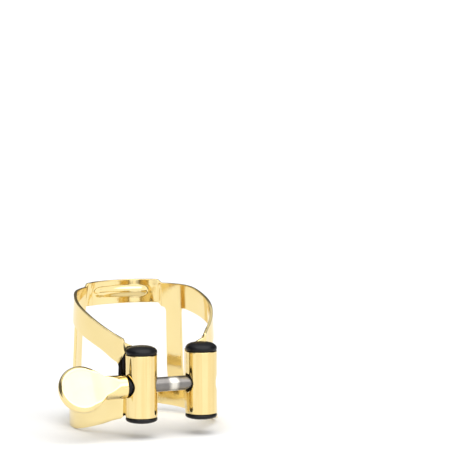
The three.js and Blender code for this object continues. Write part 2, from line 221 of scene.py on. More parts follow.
class Nodes:
    """A small helper that adds and links the nodes of one material."""

    def __init__(self, name):
        self.material = bpy.data.materials.new(name)
        self.material.use_nodes = True
        self.tree = self.material.node_tree
        self.shader = self.tree.nodes["Principled BSDF"]

    def add(self, kind, **values):
        """Adds a node. A value goes to the input of that name, or else to the node's own setting."""
        node = self.tree.nodes.new(kind)
        for key, value in values.items():
            if key in node.inputs:
                node.inputs[key].default_value = value
            else:
                setattr(node, key, value)
        return node

    def link(self, source, target):
        self.tree.links.new(source, target)

    def coordinates(self, scale=(1, 1, 1)):
        """Texture coordinates in millimetres, stretched by scale."""
        where = self.add("ShaderNodeTexCoord")
        mapping = self.add("ShaderNodeMapping")
        mapping.inputs["Scale"].default_value = [s / MM for s in scale]
        self.link(where.outputs["Object"], mapping.inputs["Vector"])
        return mapping.outputs["Vector"]

    def noise(self, vector, scale, detail=3.0, roughness=0.5):
        """Noise from about 0.3 to 0.7, with this many features to a millimetre."""
        node = self.add("ShaderNodeTexNoise", Scale=scale, Detail=detail, Roughness=roughness)
        self.link(vector, node.inputs["Vector"])
        return node.outputs["Fac"]

    def ranged(self, value, low, high, source_low=0.3, source_high=0.7):
        """A value taken from one range to another, and held at its ends."""
        node = self.add("ShaderNodeMapRange")
        node.inputs["From Min"].default_value = source_low
        node.inputs["From Max"].default_value = source_high
        node.inputs["To Min"].default_value = low
        node.inputs["To Max"].default_value = high
        self.link(value, node.inputs["Value"])
        return node.outputs["Result"]

    def mixed(self, factor, first, second):
        """A colour between two, by a factor that another node gives."""
        node = self.add("ShaderNodeMix", data_type="RGBA")
        colours = [s for s in node.inputs if s.type == "RGBA"]
        colours[0].default_value = (*first, 1)
        colours[1].default_value = (*second, 1)
        self.link(factor, node.inputs[0])
        return next(s for s in node.outputs if s.type == "RGBA")

    def mixed_over(self, factor, under, over):
        """The same, laid over a colour that another node gives."""
        mixed = self.mixed(factor, (0, 0, 0), over)
        self.link(under, next(s for s in mixed.node.inputs if s.type == "RGBA"))
        return mixed

    def sum_of(self, first, second, weight=1.0):
        """first + weight * second."""
        node = self.add("ShaderNodeMath", operation="MULTIPLY_ADD")
        self.link(second, node.inputs[0])
        node.inputs[1].default_value = weight
        self.link(first, node.inputs[2])
        return node.outputs["Value"]

    def bump(self, height, depth_mm):
        """Sets the shader's relief."""
        node = self.add("ShaderNodeBump", Strength=1.0, Distance=depth_mm * MM)
        self.link(height, node.inputs["Height"])
        self.link(node.outputs["Normal"], self.shader.inputs["Normal"])

    def set(self, **values):
        """Sets plain values on the shader's own sockets."""
        for key, value in values.items():
            self.shader.inputs[key.replace("_", " ")].default_value = value


def gold_plate(name="gold_plate", nose_shaded=False, drawn=False):
    """Polished gold plate with fine wipe marks and a slow change of tone.

    With its shade flag set, it lays near-black painted shade where the band's nose-shade attribute says, and
    drawn adds deeper-toned lines along Z, as on drawn tube.
    """
    nodes = Nodes(name)
    place = nodes.coordinates()
    slow = nodes.noise(place, 0.22, 2.0)
    tone = nodes.mixed(nodes.ranged(slow, 0, 1), *GOLD_TONES)
    if drawn:
        lines = nodes.noise(nodes.coordinates((1, 1, 0.03)), 1.1, 2.0)
        tone = nodes.mixed_over(nodes.ranged(lines, 0, 0.7, 0.48, 0.6), tone, DRAWN_TONE)
    # Painted shade: near-black, with a ragged edge, where the fold meets the post at each window's nose.
    if nose_shaded:
        nose_shade = nodes.add("ShaderNodeAttribute", attribute_name=NOSE_SHADE_ATTRIBUTE).outputs["Fac"]
        shade_edge_noise = nodes.noise(place, 1.3, 4.0, 0.6)
        edge = nodes.ranged(nodes.sum_of(nose_shade, shade_edge_noise, 0.4), 0, 1, 0.66, 0.74)
        tone = nodes.mixed_over(edge, tone, NOSE_SHADE_TONE)
    nodes.link(tone, nodes.shader.inputs["Base Color"])
    wipes = nodes.noise(nodes.coordinates((0.35, 0.35, 5.0)), 3.0, 4.0, 0.6)
    specks = nodes.noise(place, 9.0, 2.0)
    haze = nodes.sum_of(nodes.ranged(slow, 0.05, 0.09), nodes.ranged(wipes, 0.0, 0.045))
    nodes.link(haze, nodes.shader.inputs["Roughness"])
    nodes.bump(nodes.sum_of(wipes, specks, 0.4), 0.0012)
    nodes.set(Metallic=1.0)
    return nodes.material


def black_plastic():
    """Black moulded plastic with a soft gloss and a fine moulded grain."""
    nodes = Nodes("black_plastic")
    place = nodes.coordinates()
    slow = nodes.noise(place, 0.8, 3.0)
    tone = nodes.mixed(nodes.ranged(slow, 0, 1), *BLACK_TONES)
    nodes.link(tone, nodes.shader.inputs["Base Color"])
    grain = nodes.noise(place, 14.0, 3.0)
    nodes.link(nodes.ranged(grain, 0.26, 0.38), nodes.shader.inputs["Roughness"])
    nodes.bump(grain, 0.004)
    nodes.set(Metallic=0.0, IOR=1.3)
    return nodes.material


def turned_steel():
    """Dull turned steel with fine rings round its axis, and a painted highlight half-way between the posts.
    """
    nodes = Nodes("turned_steel")
    place = nodes.coordinates()
    rings = nodes.noise(nodes.coordinates((9.0, 0.15, 0.15)), 2.5, 4.0, 0.65)
    slow = nodes.noise(place, 0.5, 2.0)
    tone = nodes.mixed(nodes.ranged(slow, 0, 1), *STEEL_TONES)
    # Painted highlight: a pale patch laid over the base colour, centred half-way between the posts.
    parts = nodes.add("ShaderNodeSeparateXYZ")
    nodes.link(place, parts.inputs["Vector"])
    from_highlight = nodes.add("ShaderNodeMath", operation="SUBTRACT")
    nodes.link(parts.outputs["X"], from_highlight.inputs[0])
    from_highlight.inputs[1].default_value = SHANK_HIGHLIGHT_X
    distance = nodes.add("ShaderNodeMath", operation="ABSOLUTE")
    nodes.link(from_highlight.outputs["Value"], distance.inputs[0])
    ragged = nodes.sum_of(distance.outputs["Value"], nodes.noise(place, 1.2, 3.0), 0.7)
    tone = nodes.mixed_over(nodes.ranged(ragged, 0.85, 0, 0.7, 1.5), tone, SHANK_HIGHLIGHT_TONE)
    nodes.link(tone, nodes.shader.inputs["Base Color"])
    nodes.link(nodes.ranged(rings, 0.26, 0.40), nodes.shader.inputs["Roughness"])
    nodes.bump(rings, 0.003)
    nodes.set(Metallic=1.0)
    return nodes.material


def raw_brass():
    """Unplated turned brass."""
    nodes = Nodes("raw_brass")
    rings = nodes.noise(nodes.coordinates((7.0, 0.3, 0.3)), 2.0, 3.0)
    tone = nodes.mixed(nodes.ranged(rings, 0, 1), *BRASS_TONES)
    nodes.link(tone, nodes.shader.inputs["Base Color"])
    nodes.link(nodes.ranged(rings, 0.25, 0.42), nodes.shader.inputs["Roughness"])
    nodes.bump(rings, 0.003)
    nodes.set(Metallic=1.0)
    return nodes.material


def studio_floor():
    """A pale matt floor."""
    nodes = Nodes("studio_floor")
    mottle = nodes.noise(nodes.coordinates(), 0.02, 2.0)
    tone = nodes.mixed(nodes.ranged(mottle, 0, 1), *FLOOR_TONES)
    nodes.link(tone, nodes.shader.inputs["Base Color"])
    nodes.set(Roughness=0.7)
    return nodes.material


NOSE_SHADE_ATTRIBUTE = "painted_nose_shade"  # the band's point attribute that says where shade is painted at the windows' noses
GOLD = gold_plate()
# Gold with painted shade at the windows' noses, for the band.
NOSE_SHADED_GOLD = gold_plate("nose_shaded_gold_plate", nose_shaded=True)
DRAWN_GOLD = gold_plate("drawn_gold_plate", drawn=True)
BLACK = black_plastic()
STEEL = turned_steel()
BRASS = raw_brass()
SLOTS = {"gold_plate": GOLD, "black_plastic": BLACK, "steel": STEEL, "raw_brass": BRASS}

# ---- Mesh helpers ---------------------------------------------------------------------------


def new_piece(name, points, faces, slot):
    """A smooth-shaded object from points in millimetres, with its faces turned outward."""
    mesh = bpy.data.meshes.new(name)
    mesh.from_pydata([Vector(p) * MM for p in points], [], faces)
    work = bmesh.new()
    work.from_mesh(mesh)
    bmesh.ops.remove_doubles(work, verts=work.verts, dist=0.0005 * MM)
    bmesh.ops.delete(work, geom=[v for v in work.verts if not v.link_faces], context="VERTS")
    bmesh.ops.recalc_face_normals(work, faces=work.faces)
    work.to_mesh(mesh)
    work.free()
    mesh.materials.append(SLOTS[slot])
    obj = bpy.data.objects.new(name, mesh)
    bpy.context.scene.collection.objects.link(obj)
    return smooth(obj)


def smooth(obj):
    """Shades every face smooth."""
    obj.data.polygons.foreach_set("use_smooth", [True] * len(obj.data.polygons))
    return obj


def apply_modifiers(obj):
    """Turns an object's modifiers into its mesh."""
    bpy.context.view_layer.update()
    graph = bpy.context.evaluated_depsgraph_get()
    done = bpy.data.meshes.new_from_object(obj.evaluated_get(graph), depsgraph=graph)
    obj.modifiers.clear()
    obj.data = done
    return obj


def weight_normals(obj):
    """Keeps flat faces flat beside small rounded edges."""
    modifier = obj.modifiers.new("normals", "WEIGHTED_NORMAL")
    modifier.weight = 80
    return apply_modifiers(obj)


def stand_for(obj, body, *nodes):
    """Puts a piece in place of CAD nodes, on the body that carries them."""
    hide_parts(*nodes)
    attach(obj, body)
    return obj


def arc(centre, radius, start, end, steps):
    """Points on an arc in a profile, angles in degrees."""
    angles = np.radians(np.linspace(start, end, steps + 1))
    return [(centre[0] + radius * math.cos(a), centre[1] + radius * math.sin(a)) for a in angles]


def bridge(loop, other):
    """Faces between two closed loops of as many points."""
    count = len(loop)
    return [(loop[k], loop[(k + 1) % count], other[(k + 1) % count], other[k]) for k in range(count)]


def ring_faces(rings, count):
    """Faces that join rings of count points each, numbered ring after ring."""
    faces = []
    for ring in range(rings - 1):
        start = ring * count
        faces += bridge(range(start, start + count), range(start + count, start + 2 * count))
    return faces


def end_faces(rings, count):
    """The two faces that close such a skin at its first and last ring."""
    return [tuple(range(count)), tuple(range((rings - 1) * count, rings * count))]


def revolve(profile, steps, axis="Z"):
    """Points and faces of a body of revolution, from a profile of (radius, height) points."""
    points = []
    angles = np.linspace(0, 2 * math.pi, steps, endpoint=False)
    for radius, height in profile:
        for angle in angles:
            across, over = radius * math.cos(angle), radius * math.sin(angle)
            points.append((across, over, height) if axis == "Z" else (height, across, over))
    return points, ring_faces(len(profile), steps)


def moved(points, offset):
    """Points shifted by an offset."""
    return [tuple(np.add(p, offset)) for p in points]


# ---- Band -----------------------------------------------------------------------------------


def smoothstep(x, low, high):
    """Rises smoothly from 0 at low to 1 at high; low may be the larger."""
    t = np.clip((x - low) / (high - low), 0, 1)
    return t * t * (3 - 2 * t)


def curve_through(pairs):
    """A smooth curve through (station, value) pairs, level past both ends."""
    stations = [p[0] for p in pairs]
    values = [p[1] for p in pairs]
    slopes = [0.0] * len(pairs)
    for i in range(1, len(pairs) - 1):
        slopes[i] = (values[i + 1] - values[i - 1]) / (stations[i + 1] - stations[i - 1])

    def value_at(station):
        i = min(max(int(np.searchsorted(stations, station, side="right")) - 1, 0), len(pairs) - 2)
        span = stations[i + 1] - stations[i]
        t = min(max((station - stations[i]) / span, 0), 1)
        from_values = (2 * t**3 - 3 * t**2 + 1) * values[i] + (3 * t**2 - 2 * t**3) * values[i + 1]
        from_slopes = (t**3 - 2 * t**2 + t) * slopes[i] + (t**3 - t**2) * slopes[i + 1]
        return from_values + from_slopes * span

    return value_at


EDGES = [curve_through(e) for e in (BOTTOM_EDGE, LOW_WINDOW_EDGE, HIGH_WINDOW_EDGE, TOP_EDGE)]


def plateau_share(station):
    """One on the raised plateau, falling to nothing past its edge."""
    return 1 - smoothstep(station, *PLATEAU_EDGE)


def ring_point(station, z):
    """The outer surface of the round part in plan, and its inward normal."""
    angle = math.radians(station)
    outward = np.array((math.sin(angle), math.cos(angle)))
    gain = 1 + PLATEAU_LEAN_GAIN * (station / PLATEAU_EDGE[0]) ** 2
    slope = PLATEAU_LEAN * gain + PLATEAU_TWIST * smoothstep(station, *PLATEAU_TWIST_STATIONS)
    lean = slope * (z - PLATEAU_LEAN_HEIGHT) if z > PLATEAU_LEAN_HEIGHT / 2 else 0
    upright = (1 - smoothstep(z, *FOOT_TOP)) * (1 - smoothstep(station, *FOOT_END))
    upright *= smoothstep(station, *FOOT_START)
    above_foot = max(z - FOOT_HEIGHT, FOOT_EASE * (z - FOOT_HEIGHT))
    radius = RING_RADIUS_AT_BASE - RING_TAPER * z + (RING_TAPER + FOOT_FLARE) * above_foot * upright
    lean += MARGIN_LEAN * max(z - MARGIN_START, 0)
    return outward * (radius + (PLATEAU_DEPTH - lean) * plateau_share(station)), -outward


def inward_of(angle):
    """The normal, on the band's inner side, of a run in this direction."""
    return np.array((math.sin(angle), -math.cos(angle)))


def plan_at(station, z):
    """The right half's outer surface in plan and its inward normal."""
    if station <= RING_END:
        return ring_point(station, z)
    start = ring_point(RING_END, z)[0]
    corner = np.array((FOLD_X + FOLD_X_SLOPE * (FOLD_X_HEIGHT - z), PLATE_Y))
    along = (corner - start) / np.linalg.norm(corner - start)
    start_angle = math.atan2(along[1], along[0])
    turn = -math.pi - start_angle
    tangent = FOLD_RADIUS * math.tan(abs(turn) / 2)
    fold_start = corner - along * tangent
    if station <= FOLD_START:
        share = (station - RING_END) / (FOLD_START - RING_END)
        return start + (fold_start - start) * share, inward_of(start_angle)
    if station <= PLATE_START:
        share = (station - FOLD_START) / (PLATE_START - FOLD_START)
        inward = inward_of(start_angle + turn * share)
        centre = fold_start + inward_of(start_angle) * FOLD_RADIUS
        return centre - inward * FOLD_RADIUS, inward
    share = (station - PLATE_START) / (PLATE_END - PLATE_START)
    start_x = corner[0] - tangent
    return np.array((start_x + (PLATE_FREE_X - start_x) * share, PLATE_Y)), np.array((0.0, 1.0))


def corner_rise(distance, radius):
    """How much a round corner cuts off this far from its side."""
    inside = min(max(radius - distance, 0), radius)
    return radius - math.sqrt(radius**2 - inside**2)


def window_rise(station):
    """How much the windows' round corners cut off their height."""
    per_degree = math.radians(RING_RADIUS_AT_BASE - SHEET)
    to_strut = max(STRUT_EDGE[0] - station, station - STRUT_EDGE[1], 0) * per_degree
    to_nose = max(WINDOW_END - station, 0) * per_degree
    return corner_rise(to_strut, CORNER_RADIUS) + corner_rise(to_nose, NOSE_RADIUS)


def edge_heights(station):
    """Heights of the lower strip's two edges and of the upper strip's two."""
    lift = PLATEAU_LIFT * plateau_share(station)
    rise = window_rise(station)
    bottom, low_window, high_window, top = (edge(station) for edge in EDGES)
    return bottom, low_window + rise, high_window + lift - rise, top + lift


def rib_push(station, z):
    """How far the sheet is pressed inward by the embossed rib across the plateau."""
    across = math.radians(station) * RING_RADIUS_AT_BASE
    past_end = max(across - (RIB_HALF_LENGTH - RIB_HALF_HEIGHT), 0)
    distance = math.hypot(past_end * RIB_END_RATIO, z - RIB_CENTRE)
    return RIB_DEPTH * (1 - smoothstep(distance, RIB_CREST, RIB_HALF_HEIGHT))


def tab_push(station, z):
    """How far a tab's top corner leans back, away from the cap in front of it."""
    return TAB_LEAN * max(z - TAB_LEAN_START, 0) * smoothstep(station, FOLD_START, PLATE_START)


STRIP_CELLS = (8, 8, 26)  # rows of cells in the lower strip, between the strips, in the upper strip


def row_heights(station):
    """Heights of all the rows of points at a station."""
    heights = edge_heights(station)
    rows = [heights[0]]
    for cells, low, high in zip(STRIP_CELLS, heights, heights[1:]):
        rows += [low + (high - low) * (k + 1) / cells for k in range(cells)]
    return rows


def half_stations():
    """Stations from the plateau's middle to the free end, closer together where the shape changes."""
    # Each pair is a station and the number of cells from there to the next one.
    places = [
        (0, 44), (PLATEAU_EDGE[0], 10), (PLATEAU_EDGE[1], 7), (STRUT_EDGE[0], 10), (STRUT_EDGE[1], 7),
        (59, 60), (RING_END, 12), (WINDOW_END, 6), (FOLD_START, 10), (PLATE_START, 8), (PLATE_END, 0),
    ]
    stations = []
    for (start, steps), (end, _) in zip(places, places[1:]):
        stations += list(np.linspace(start, end, steps, endpoint=False))
    return [*stations, PLATE_END]


def between_strips(row):
    """Whether a row of cells lies between the lower and the upper strip."""
    return STRIP_CELLS[0] <= row < STRIP_CELLS[0] + STRIP_CELLS[1]


def cell_is_metal(station, row):
    """Whether a cell is sheet, and not part of a window."""
    if not between_strips(row):
        return True
    station = abs(station)
    return STRUT_EDGE[0] < station < STRUT_EDGE[1] or station > WINDOW_END


def paint_nose_shade(obj):
    """Marks where shade is painted on the sheet, between each window's nose and the post."""
    layer = obj.data.attributes.new(NOSE_SHADE_ATTRIBUTE, "FLOAT", "POINT")
    place = np.array([v.co for v in obj.data.vertices]) / MM
    normal = np.array([v.normal for v in obj.data.vertices])
    outside = np.sum(normal[:, :2] * place[:, :2], axis=1) > 0
    nose = plan_at(WINDOW_END, NOSE_SHADE_FOOT)[0]
    from_nose = nose[0] - np.abs(place[:, 0])
    top = NOSE_SHADE_FOOT + NOSE_SHADE_SLOPE * np.clip(from_nose, 0, NOSE_SHADE_CLIMB)
    share = (1 - smoothstep(place[:, 2], top, top + NOSE_SHADE_FADE)) * smoothstep(place[:, 2], *NOSE_SHADE_BOTTOM)
    back = [-nose[1] - behind for behind in NOSE_SHADE_BACK]
    share *= smoothstep(-place[:, 1], *back) * outside
    layer.data.foreach_set("value", share.astype(np.float32))


def band():
    """The whole springy strip as one sheet, with rounded edges."""
    right = half_stations()
    stations = [-s for s in reversed(right[1:])] + right
    rows = sum(STRIP_CELLS) + 1
    lowest, highest = corner_of("band_left", 0)[2], corner_of("band_left", 1)[2]
    points = []
    for station in stations:
        side = 1 if station >= 0 else -1  # the left half mirrors the right
        for height in row_heights(abs(station)):
            z = min(max(height, lowest), highest)
            point, inward = plan_at(abs(station), z)
            push = rib_push(abs(station), z) + tab_push(abs(station), z)
            for depth in (push, push + SHEET):
                x, y = point + inward * depth
                points.append((side * x, y, z))

    def at(column, row, face):
        """Number of a point: face 0 is the outer surface, 1 the inner."""
        return (column * rows + row) * 2 + face

    def metal(column, row):
        if not (0 <= column < len(stations) - 1 and 0 <= row < rows - 1):
            return False
        return cell_is_metal((stations[column] + stations[column + 1]) / 2, row)

    faces = []
    for c in range(len(stations) - 1):
        for r in range(rows - 1):
            if not metal(c, r):
                continue
            for face in (0, 1):
                faces.append((at(c, r, face), at(c, r + 1, face), at(c + 1, r + 1, face), at(c + 1, r, face)))
            for (dc, dr), (a, b) in {
                (-1, 0): ((c, r), (c, r + 1)),
                (1, 0): ((c + 1, r), (c + 1, r + 1)),
                (0, -1): ((c, r), (c + 1, r)),
                (0, 1): ((c, r + 1), (c + 1, r + 1)),
            }.items():
                if not metal(c + dc, r + dr):
                    faces.append((at(*a, 0), at(*b, 0), at(*b, 1), at(*a, 1)))
    obj = new_piece("band_sheet", points, faces, "gold_plate")
    # The band gets the gold with painted shade at the windows' noses.
    obj.data.materials[0] = NOSE_SHADED_GOLD
    bevel = obj.modifiers.new("rounding", "BEVEL")
    bevel.width = EDGE_ROUNDING * MM
    bevel.segments = 3
    bevel.limit_method = "ANGLE"
    bevel.angle_limit = math.radians(60)
    bevel.use_clamp_overlap = False
    weight_normals(apply_modifiers(obj))
    paint_nose_shade(obj)
    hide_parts("band_left", "band_right")
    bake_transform(obj)
    return obj


# ---- Posts ----------------------------------------------------------------------------------

PATCH_ANGLE = 72  # degrees either side of a hole that its ring of faces spans
PATCH_HALF_HEIGHT = 2.7
PATCH_CELLS = 40
PATCH_RINGS = 8
PLAIN_CELLS = 12  # cells round the tube between the two patches
END_ROWS = 8  # rows of cells above and below the patches
ROUNDING_STEPS = 4
HOLE_STEPS = 5


def tube_wall(radius, hole_radii, low, high, points, faces):
    """Adds one cylindrical wall with a hole at +X and one at -X. Returns its end loops and hole loops."""
    middle = SCREW_AXIS[2]
    patch = np.radians(np.linspace(-PATCH_ANGLE, PATCH_ANGLE, PATCH_CELLS + 1))
    plain = np.radians(np.linspace(PATCH_ANGLE, 180 - PATCH_ANGLE, PLAIN_CELLS + 1))[1:-1]
    angles = [*patch, *plain, *(patch + math.pi), *(plain + math.pi)]
    heights = [
        *np.linspace(low, middle - PATCH_HALF_HEIGHT, END_ROWS + 1)[:-1],
        *np.linspace(middle - PATCH_HALF_HEIGHT, middle + PATCH_HALF_HEIGHT, PATCH_CELLS + 1),
        *np.linspace(middle + PATCH_HALF_HEIGHT, high, END_ROWS + 1)[1:],
    ]
    first = len(points)
    for z in heights:
        points += [(radius * math.cos(a), radius * math.sin(a), z) for a in angles]
    count = len(angles)
    patch_columns = [range(0, PATCH_CELLS), range(count // 2, count // 2 + PATCH_CELLS)]

    def at(row, column):
        return first + row * count + column % count

    for row in range(len(heights) - 1):
        for column in range(count):
            in_rows = END_ROWS <= row < END_ROWS + PATCH_CELLS
            if in_rows and any(column in columns for columns in patch_columns):
                continue
            faces.append((at(row, column), at(row, column + 1), at(row + 1, column + 1), at(row + 1, column)))
    hole_loops = []
    steps = range(PATCH_CELLS)
    for side, hole_radius, columns in zip((0, math.pi), hole_radii, patch_columns):
        start = columns[0]
        top = END_ROWS + PATCH_CELLS
        outer = [at(END_ROWS, start + k) for k in steps]
        outer += [at(END_ROWS + k, start + PATCH_CELLS) for k in steps]
        outer += [at(top, start + PATCH_CELLS - k) for k in steps]
        outer += [at(top - k, start) for k in steps]
        places = []
        for index in outer:
            x, y, z = points[index]
            turn = math.atan2(y, x) - side
            turn = math.atan2(math.sin(turn), math.cos(turn))
            around = math.atan2((z - middle) / PATCH_HALF_HEIGHT, turn / math.radians(PATCH_ANGLE))
            hole_turn = math.asin(hole_radius * math.cos(around) / radius)
            places.append((turn, z, hole_turn, middle + hole_radius * math.sin(around)))
        loop = outer
        for ring in range(1, PATCH_RINGS + 1):
            share = ring / PATCH_RINGS
            new = []
            for turn, z, hole_turn, hole_z in places:
                angle = side + turn + (hole_turn - turn) * share
                new.append(len(points))
                points.append((radius * math.cos(angle), radius * math.sin(angle), z + (hole_z - z) * share))
            faces += bridge(loop, new)
            loop = new
        hole_loops.append(loop)
    ends = [[at(row, column) for column in range(count)] for row in (0, len(heights) - 1)]
    return ends, hole_loops


def post_tube(side):
    """The gold tube with rounded ends and a rounded rim at each cross hole."""
    low, high = corner_of(f"post_tube_{side}", 0), corner_of(f"post_tube_{side}", 1)
    radius = (high[1] - low[1]) / 2
    points, faces = [], []
    edge = TUBE_END_ROUNDING
    holes = (HOLE_RADIUS, NEAR_HOLE_RADIUS if side == "right" else HOLE_RADIUS)
    rims = [hole + HOLE_ROUNDING for hole in holes]
    outer_ends, outer_holes = tube_wall(radius, rims, low[2] + edge, high[2] - edge, points, faces)
    inner_ends, inner_holes = tube_wall(TUBE_BORE, holes, low[2] + edge, high[2] - edge, points, faces)
    for outer, inner, end, way in zip(outer_ends, inner_ends, (low[2], high[2]), (-1, 1)):
        loop = outer
        profile = arc((radius - edge, end - way * edge), edge, 0, 90, ROUNDING_STEPS)[1:]
        profile += arc((TUBE_BORE + edge, end - way * edge), edge, 90, 180, ROUNDING_STEPS)[:-1]
        for ring_radius, height in profile:
            z = height if way > 0 else 2 * (end - way * edge) - height
            new = []
            for index in outer:
                x, y, _ = points[index]
                new.append(len(points))
                points.append((x * ring_radius / radius, y * ring_radius / radius, z))
            faces += bridge(loop, new)
            loop = new
        faces += bridge(loop, inner)
    for outer, inner, hole in zip(outer_holes, inner_holes, holes):
        loop = outer
        for k in range(1, HOLE_STEPS + 1):
            angle = math.radians(90 * k / HOLE_STEPS)
            share = (hole + HOLE_ROUNDING * (1 - math.sin(angle))) / (hole + HOLE_ROUNDING)
            new = []
            for index in outer:
                x, y, z = points[index]
                depth = HOLE_ROUNDING * (1 - math.cos(angle))
                wide = y * share
                deep = math.copysign(math.sqrt(radius**2 - wide**2) - depth, x)
                new.append(len(points))
                points.append((deep, wide, SCREW_AXIS[2] + (z - SCREW_AXIS[2]) * share))
            faces += bridge(loop, new)
            loop = new
        faces += bridge(loop, inner)
    axis = POST_AXES[side]
    obj = new_piece(f"post_{side}_tube", moved(points, (axis[0], axis[1], 0)), faces, "gold_plate")
    obj.data.materials[0] = DRAWN_GOLD
    return stand_for(weight_normals(obj), f"{side}_side", f"post_tube_{side}")


def post_cap(side, end):
    """A domed black cap with a soft edge, and its plug inside the tube."""
    node = f"cap_{side}_{end}"
    low, high = corner_of(node, 0), corner_of(node, 1)
    way = 1 if end == "top" else -1
    tube_end = corner_of(f"post_tube_{side}", 1 if end == "top" else 0)[2]
    seat = tube_end + way * CAP_SEAT_GAP
    tip = high[2] if end == "top" else low[2]
    radius = (high[0] - low[0]) / 2
    height = abs(tip - seat)
    plug = TUBE_BORE - CAP_PLUG_CLEARANCE
    profile = [
        (0, -CAP_PLUG_DEPTH), (plug / 2, -CAP_PLUG_DEPTH), (plug, -CAP_PLUG_DEPTH), (plug, 0),
        *arc((radius - CAP_FOOT, CAP_FOOT), CAP_FOOT, 270, 360, 6),
    ]
    for turn in np.radians(np.linspace(0, 90, 25)):
        share = math.cos(turn)
        profile.append((radius * share, CAP_RIM + (height - CAP_RIM) * math.sqrt(1 - share**3)))
    points, faces = revolve([(r, seat + way * h) for r, h in profile], 128)
    axis = POST_AXES[side]
    obj = new_piece(f"post_{side}_cap_{end}", moved(points, (axis[0], axis[1], 0)), faces, "black_plastic")
    return stand_for(obj, f"{side}_swivel", node)


def solder_fillet(side, place):
    """The bead of solder that fills the corner between a tube and its tab plate, on one side of the post."""
    axis = POST_AXES[side]
    radius = corner_of(f"post_tube_{side}", 1)[1] - axis[1]
    outward = math.copysign(1, axis[0]) * (1 if place == "outer" else -1)
    reach, angle = SOLDER_REACH[place], math.radians(SOLDER_ANGLE[place])
    on_tube = np.array((radius * math.sin(angle), radius * math.cos(angle)))
    plate = PLATE_Y - axis[1]
    control = np.array((on_tube[0] * 0.75, plate - SOLDER_SINK))
    on_plate = np.array((reach, plate + 0.02))
    face = [
        (1 - t) ** 2 * on_tube + 2 * t * (1 - t) * control + t**2 * on_plate for t in np.linspace(0, 1, 9)
    ]
    sunk = plate + SOLDER_SINK
    section = [*face, np.array((reach, sunk)), np.array((0.2, sunk)), on_tube * 0.96]
    behind_post = PLATE_START + 4
    low = EDGES[0](behind_post) + SOLDER_ENDS[0]
    high = EDGES[3](behind_post) - SOLDER_ENDS[1]
    heart = np.array((0.9, plate - 0.05))
    points = []
    shares = np.linspace(0, 1, 25)
    for share in shares:
        # The bead keeps its full size along its length and rounds off at its two ends.
        swell = min(1, math.sqrt(max(1 - (2 * share - 1) ** 8, 0)) + 0.02)
        for p in section:
            x, y = heart + (p - heart) * swell
            points.append((axis[0] + outward * x, axis[1] + y, low + (high - low) * share))
    faces = ring_faces(len(shares), len(section)) + end_faces(len(shares), len(section))
    obj = new_piece(f"solder_{side}_{place}", points, faces, "gold_plate")
    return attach(obj, f"{side}_side")


# ---- Screw ----------------------------------------------------------------------------------


def screw_shaft():
    """A plain shank, then a fine thread from the right post's near side to the tip."""
    low, high = corner_of("screw_shaft", 0), corner_of("screw_shaft", 1)
    radius = (high[1] - low[1]) / 2
    start, end = low[0], high[0]
    steps, shank_rows, rows_to_a_turn = 72, 60, 14
    places = [*np.linspace(start, THREAD_START, shank_rows)[:-1]]
    places += [*np.linspace(THREAD_START, end, int((end - THREAD_START) / THREAD_PITCH * rows_to_a_turn))]
    points = []
    for x in places:
        depth = THREAD_DEPTH * smoothstep(x, THREAD_START, THREAD_START + THREAD_PITCH)
        taper = TIP_DEPTH * smoothstep(x, end - TIP_TAPER[0], end + TIP_TAPER[1])
        for k in range(steps):
            around = k / steps
            phase = (x / THREAD_PITCH - around) % 1
            crest = abs(2 * phase - 1)
            r = radius - depth * (1 - crest) - taper
            angle = 2 * math.pi * around
            points.append((x, r * math.cos(angle), r * math.sin(angle)))
    faces = ring_faces(len(places), steps) + end_faces(len(places), steps)
    obj = new_piece("screw_shank", moved(points, (0, SCREW_AXIS[1], SCREW_AXIS[2])), faces, "steel")
    return stand_for(obj, "thumb_screw", "screw_shaft")


def thrust_washer():
    """A flat ring with rounded outer edges, between the key and the left core."""
    low, high = corner_of("thrust_washer", 0), corner_of("thrust_washer", 1)
    outer = (high[1] - low[1]) / 2
    inner = (corner_of("screw_shaft", 1)[1] - corner_of("screw_shaft", 0)[1]) / 2 + WASHER_CLEARANCE
    edge = WASHER_EDGE
    profile = [
        *arc((outer - edge, low[0] + edge), edge, 270, 360, ROUNDING_STEPS),
        *arc((outer - edge, high[0] - edge), edge, 0, 90, ROUNDING_STEPS),
        (inner, high[0]), (inner, low[0]), (outer - edge, low[0]),
    ]
    points, faces = revolve(profile, 96, "X")
    obj = new_piece("washer", moved(points, (0, SCREW_AXIS[1], SCREW_AXIS[2])), faces, "black_plastic")
    return stand_for(weight_normals(obj), "thumb_screw", "thrust_washer")


def smooth_max(first, second, width):
    """The larger of two, with a soft change from one to the other."""
    gap = np.maximum(width - np.abs(first - second), 0)
    return np.maximum(first, second) + gap**2 / (4 * width)


def key_half_height(x):
    """Half the key's outline: the paddle's disc, then the neck, softly joined."""
    disc_x = corner_of("thumb_key", 0)[0] + PADDLE_RADIUS
    disc = np.sqrt(np.maximum(PADDLE_RADIUS**2 - (x - disc_x) ** 2, 0))
    return np.where(x < disc_x, disc, smooth_max(disc, np.full_like(disc, NECK_RADIUS), WEB_BLEND))


SLOPE_STEP = 0.02  # half the span over which the outline's slope is taken
HALVINGS = 40
KEY_SWEEP = (1.2, 100)  # degrees of the paddle's disc that its rings follow, from the tip
KEY_RINGS = (60, 75, 6)  # rings along the disc, the neck and the neck's rounded end
KEY_RING_POINTS = 144


